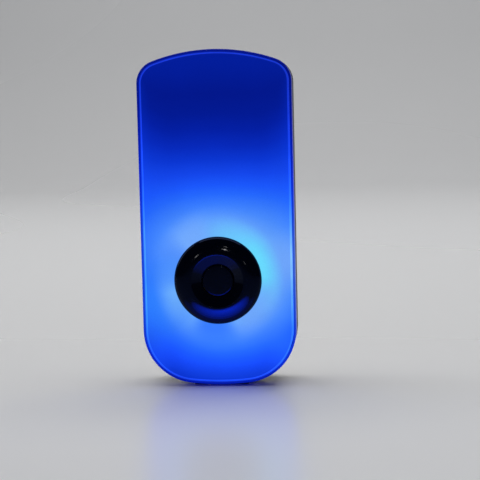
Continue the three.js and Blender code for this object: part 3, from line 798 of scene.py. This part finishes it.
def board_material(name, colour):
    """Solder mask with copper runs showing faintly through it."""
    nodes = Nodes(name)
    brick = nodes.tree.nodes.new("ShaderNodeTexBrick")
    nodes.put(brick.inputs["Vector"], nodes.mapped("Rotation", (QUARTER, 0.0, 0.0)))
    nodes.put(brick.inputs["Scale"], 160)
    nodes.put(brick.inputs["Mortar Size"], 0.03)
    patch = nodes.remap(nodes.noise(scale=90), 0.4, 0.6)
    runs = nodes.math("MULTIPLY", brick.outputs["Fac"], patch)
    nodes.set(Base_Color=nodes.mix(runs, rgb(colour), rgb(colour, 2.2)), Specular_IOR_Level=0.45)
    nodes.set(Roughness=nodes.vary(nodes.noise(scale=500), 0.3, 0.42))
    nodes.bump(runs, strength=0.15, distance=0.03 * MM)
    return nodes.material


# Moulded pieces: colour, roughness, size of the grain in millimetres and strength of the grain.
MOULDED = {
    "black_plastic": ((0.0095, 0.01, 0.0125), 0.5, 0.45, 0.25),
    "grey_plastic": ((0.05, 0.055, 0.06), 0.55, 0.45, 0.25),
    "white_film": ((0.72, 0.75, 0.78), 0.45, 0.8, 0.1),
    "led_lens": ((0.7, 0.62, 0.3), 0.3, 0.6, 0.1),
    "chip": ((0.01, 0.01, 0.012), 0.45, 0.3, 0.15),
    "magnet": ((0.03, 0.03, 0.035), 0.5, 0.3, 0.3),
    "foam": ((0.015, 0.016, 0.018), 0.9, 0.5, 0.8),
    "silicone": ((0.02, 0.021, 0.024), 0.75, 0.6, 0.2),
    "wire_red": ((0.42, 0.012, 0.01), 0.4, 0.5, 0.1),
    "wire_black": ((0.011, 0.011, 0.012), 0.4, 0.5, 0.1),
}

# Circuit boards: the colour of the solder mask.
BOARDS = {
    "circuit_board": (0.008, 0.07, 0.03),
    "module_board": (0.008, 0.025, 0.09),
}

# Metal pieces: colour and roughness.
METALS = {
    "tin": ((0.62, 0.63, 0.65), 0.28),
    "steel": ((0.42, 0.43, 0.45), 0.34),
    "foil": ((0.6, 0.62, 0.65), 0.36),
    "gold": ((0.78, 0.52, 0.2), 0.25),
}


def make_materials():
    """One material for each slot of the record."""
    return {
        "frosted_rim": rim_material(),
        "light_panel": panel_material(),
        "clear_guide": lip_material(),
        "gloss_black": gloss_material(),
        **{name: moulded_material(name, *look) for name, look in MOULDED.items()},
        **{name: board_material(name, colour) for name, colour in BOARDS.items()},
        **{name: metal_material(name, *look) for name, look in METALS.items()},
    }


def dress(materials):
    """Gives every piece and every carried-over node the material of its slot."""
    slots = {row["node"]: row["material_slot"] for row in frame["record"]["subparts"]}
    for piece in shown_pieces():
        slot = piece.get("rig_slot") or slots[piece.name]
        piece.data.materials.clear()
        piece.data.materials.append(materials[slot])


# ---- floor, light and camera ----

def make_floor():
    """A pale sweep: a flat floor that curves up into the backdrop."""
    half_width = 14.0
    front = -14.0
    bend_start = 1.6
    bend_radius = 0.9
    back = bend_start + bend_radius
    top = 3.2
    path = [(front, 0.0), *rolled((bend_start, 0.0), (back, bend_radius), 24), (back, top)]
    bm = bmesh.new()
    rows = [[bm.verts.new((x, y, z)) for x in (-half_width, half_width)] for y, z in path]
    for low, high in zip(rows, rows[1:]):
        bm.faces.new((low[0], low[1], high[1], high[0]))
    floor = add_object("floor", mesh_from("floor", bm))
    smooth(floor, 60)
    nodes = Nodes("pale_floor")
    cloud = nodes.noise(scale=1.0, detail=0.0)
    roughness = nodes.math("MULTIPLY_ADD", cloud, 0.02, 0.265)
    nodes.set(Base_Color=nodes.mix(cloud, rgb((1, 1, 1), 0.775), rgb((1, 1, 1), 0.785)))
    nodes.set(Roughness=roughness, Specular_IOR_Level=0.5)
    floor.data.materials.append(nodes.material)


# Soft boxes over, behind and beside the body: place, target, width, height and power.
SOFTBOXES = {
    "top_softbox": ((0.0, 0.35, 1.6), (0, 0.2, 0), 2.0, 1.4, 20),
    "back_softbox": ((0.0, 1.0, 2.2), (0, 2.2, 0.6), 2.4, 1.0, 14),
    "side_softbox": ((-1.5, 0.3, 1.0), (0, 0, BODY_MIDDLE_Z), 0.8, 1.2, 5),
}

# Small lamps that the ring mirrors, narrow enough to light nothing else: turn round the ring from
# the top in degrees, the mirror point's distance from the ring's middle in millimetres, then width,
# height and radiance.
LAMPS = [
    (-38.5, 14.2, 0.035, 0.1, 130),
    (15.0, 14.4, 0.05, 0.11, 240),
    (15.0, 15.6, 0.04, 0.04, 150),
    (57.0, 14.6, 0.03, 0.08, 45),
]
LAMP_DISTANCE = 1.7
LAMP_SPREAD = math.radians(4)
LAMP_COLOUR = (1.0, 0.6, 0.22)

# The lit table in front, which the ring mirrors: near and far edge, half width, height and power.
GLOW_CARDS = [
    (FRONT_Y - 2 * MM, FRONT_Y - 85 * MM, 75 * MM, 0.2 * MM, 0.13),
    (FRONT_Y - 24 * MM, FRONT_Y - 150 * MM, 50 * MM, 2.1 * MM, 1.05),
]
CARD_RINGS = 6
CARD_STEP = 0.3 * MM
CARD_COLOUR = (0.01, 0.09, 1.0)

# The camera's turn round the body, its angle of height and its roll, how far left of and above the
# picture's middle the body stands, the lens and sensor in millimetres, and the width in view.
AZIMUTH = math.radians(5.0)
ELEVATION = math.radians(5.26)
ROLL = math.radians(-1.344)
BODY_LEFT = 10.05 * MM
BODY_UP = 9.7 * MM
LENS = 102.0
SENSOR = 36.0
FRAME_WIDTH = 211.0 * MM


def camera_place():
    """The camera's place and the direction from the body to it."""
    back = Vector((math.sin(AZIMUTH) * math.cos(ELEVATION),
                   -math.cos(AZIMUTH) * math.cos(ELEVATION),
                   math.sin(ELEVATION)))
    right = Vector((math.cos(AZIMUTH), math.sin(AZIMUTH), 0))
    up = back.cross(right)
    body_middle = Vector((0, FRONT_Y, BODY_MIDDLE_Z))
    distance = FRAME_WIDTH * LENS / SENSOR
    return body_middle + right * BODY_LEFT - up * BODY_UP + back * distance, back


def area_light(name, place, target, width, height, power, colour=(1, 1, 1)):
    data = bpy.data.lights.new(name, "AREA")
    data.shape = "RECTANGLE"
    data.size = width
    data.size_y = height
    data.energy = power
    data.color = colour
    light = add_object(name, data)
    light.location = place
    light.rotation_euler = (Vector(target) - Vector(place)).to_track_quat("-Z", "Y").to_euler()
    return light


def ring_reflection(turn, reach):
    """A point on the ring's shoulder, and the direction that it mirrors towards the camera."""
    shoulder_width = DIAL_RADIUS - CREST_RADIUS
    shoulder_depth = RING_RIM_Y - RING_LOW.y
    across = (reach - CREST_RADIUS) / shoulder_width
    depth = math.sqrt(1 - across * across)
    outward = Vector((math.sin(turn), 0, math.cos(turn)))
    point = outward * reach + Vector((DIAL_X, RING_RIM_Y - shoulder_depth * depth, DIAL_Z))
    normal = outward * (across / shoulder_width) - Vector((0, depth / shoulder_depth, 0))
    normal.normalize()
    view = (camera_place()[0] - point).normalized()
    return point, 2 * normal.dot(view) * normal - view


def make_lamps():
    """Each lamp stands where its point on the ring mirrors it into the camera."""
    for i, (turn, reach, width, height, radiance) in enumerate(LAMPS, 1):
        point, towards = ring_reflection(math.radians(turn), reach * MM)
        power = radiance * width * height * math.pi * (LAMP_SPREAD / 2) ** 2 / 3
        place = point + towards * LAMP_DISTANCE
        lamp = area_light(f"lamp_{i}", place, point, width, height, power, LAMP_COLOUR)
        lamp.data.spread = LAMP_SPREAD


def make_glow_card(near, far, half_width, height, power):
    """Nested ellipses of blue light over the floor, bright in the middle, that only gloss mirrors."""
    y = (near + far) / 2
    for i in range(CARD_RINGS):
        share = 1 - i / CARD_RINGS
        place = (DIAL_X, y, height + i * CARD_STEP)
        width = 2 * half_width * share
        depth = (near - far) * share
        ring_power = power * share * share / CARD_RINGS
        card = area_light("glow_card", place, (DIAL_X, y, 1), width, depth, ring_power, CARD_COLOUR)
        card.data.shape = "ELLIPSE"
        card.visible_camera = False
        card.visible_diffuse = False


def make_world():
    """A dim room that is paler towards the horizon, so that gloss shows no hard skyline."""
    world = bpy.data.worlds.new("studio")
    world.use_nodes = True
    tree = world.node_tree
    direction = tree.nodes.new("ShaderNodeTexCoord").outputs["Generated"]
    split = tree.nodes.new("ShaderNodeSeparateXYZ")
    tree.links.new(direction, split.inputs[0])
    ramp = tree.nodes.new("ShaderNodeValToRGB")
    tree.links.new(split.outputs["Z"], ramp.inputs["Fac"])
    horizon, above = ramp.color_ramp.elements
    horizon.color = (0.07, 0.075, 0.085, 1.0)
    above.position = 0.3
    above.color = (0.05, 0.055, 0.065, 1.0)
    tree.links.new(ramp.outputs["Color"], tree.nodes["Background"].inputs["Color"])
    bpy.context.scene.world = world


def make_camera():
    """Almost straight on, slightly above and to the right, with the body left of the middle."""
    data = bpy.data.cameras.new("camera")
    data.lens = LENS
    data.sensor_width = SENSOR
    data.clip_end = 20
    camera = add_object("camera", data)
    bpy.context.scene.camera = camera
    camera.location, back = camera_place()
    turn = (-back).to_track_quat("-Z", "Y").to_matrix().to_4x4()
    camera.rotation_euler = (turn @ Matrix.Rotation(ROLL, 4, "Z")).to_euler()


make_camera()
for make in (make_rim, make_guide_lip, make_panel, make_volume_ring, make_button, make_shell):
    make()
soften_nodes()
dress(make_materials())
make_floor()
for name, settings in SOFTBOXES.items():
    area_light(name, *settings)
make_lamps()
for card in GLOW_CARDS:
    make_glow_card(*card)
make_world()
bpy.context.scene.view_settings.view_transform = "Standard"
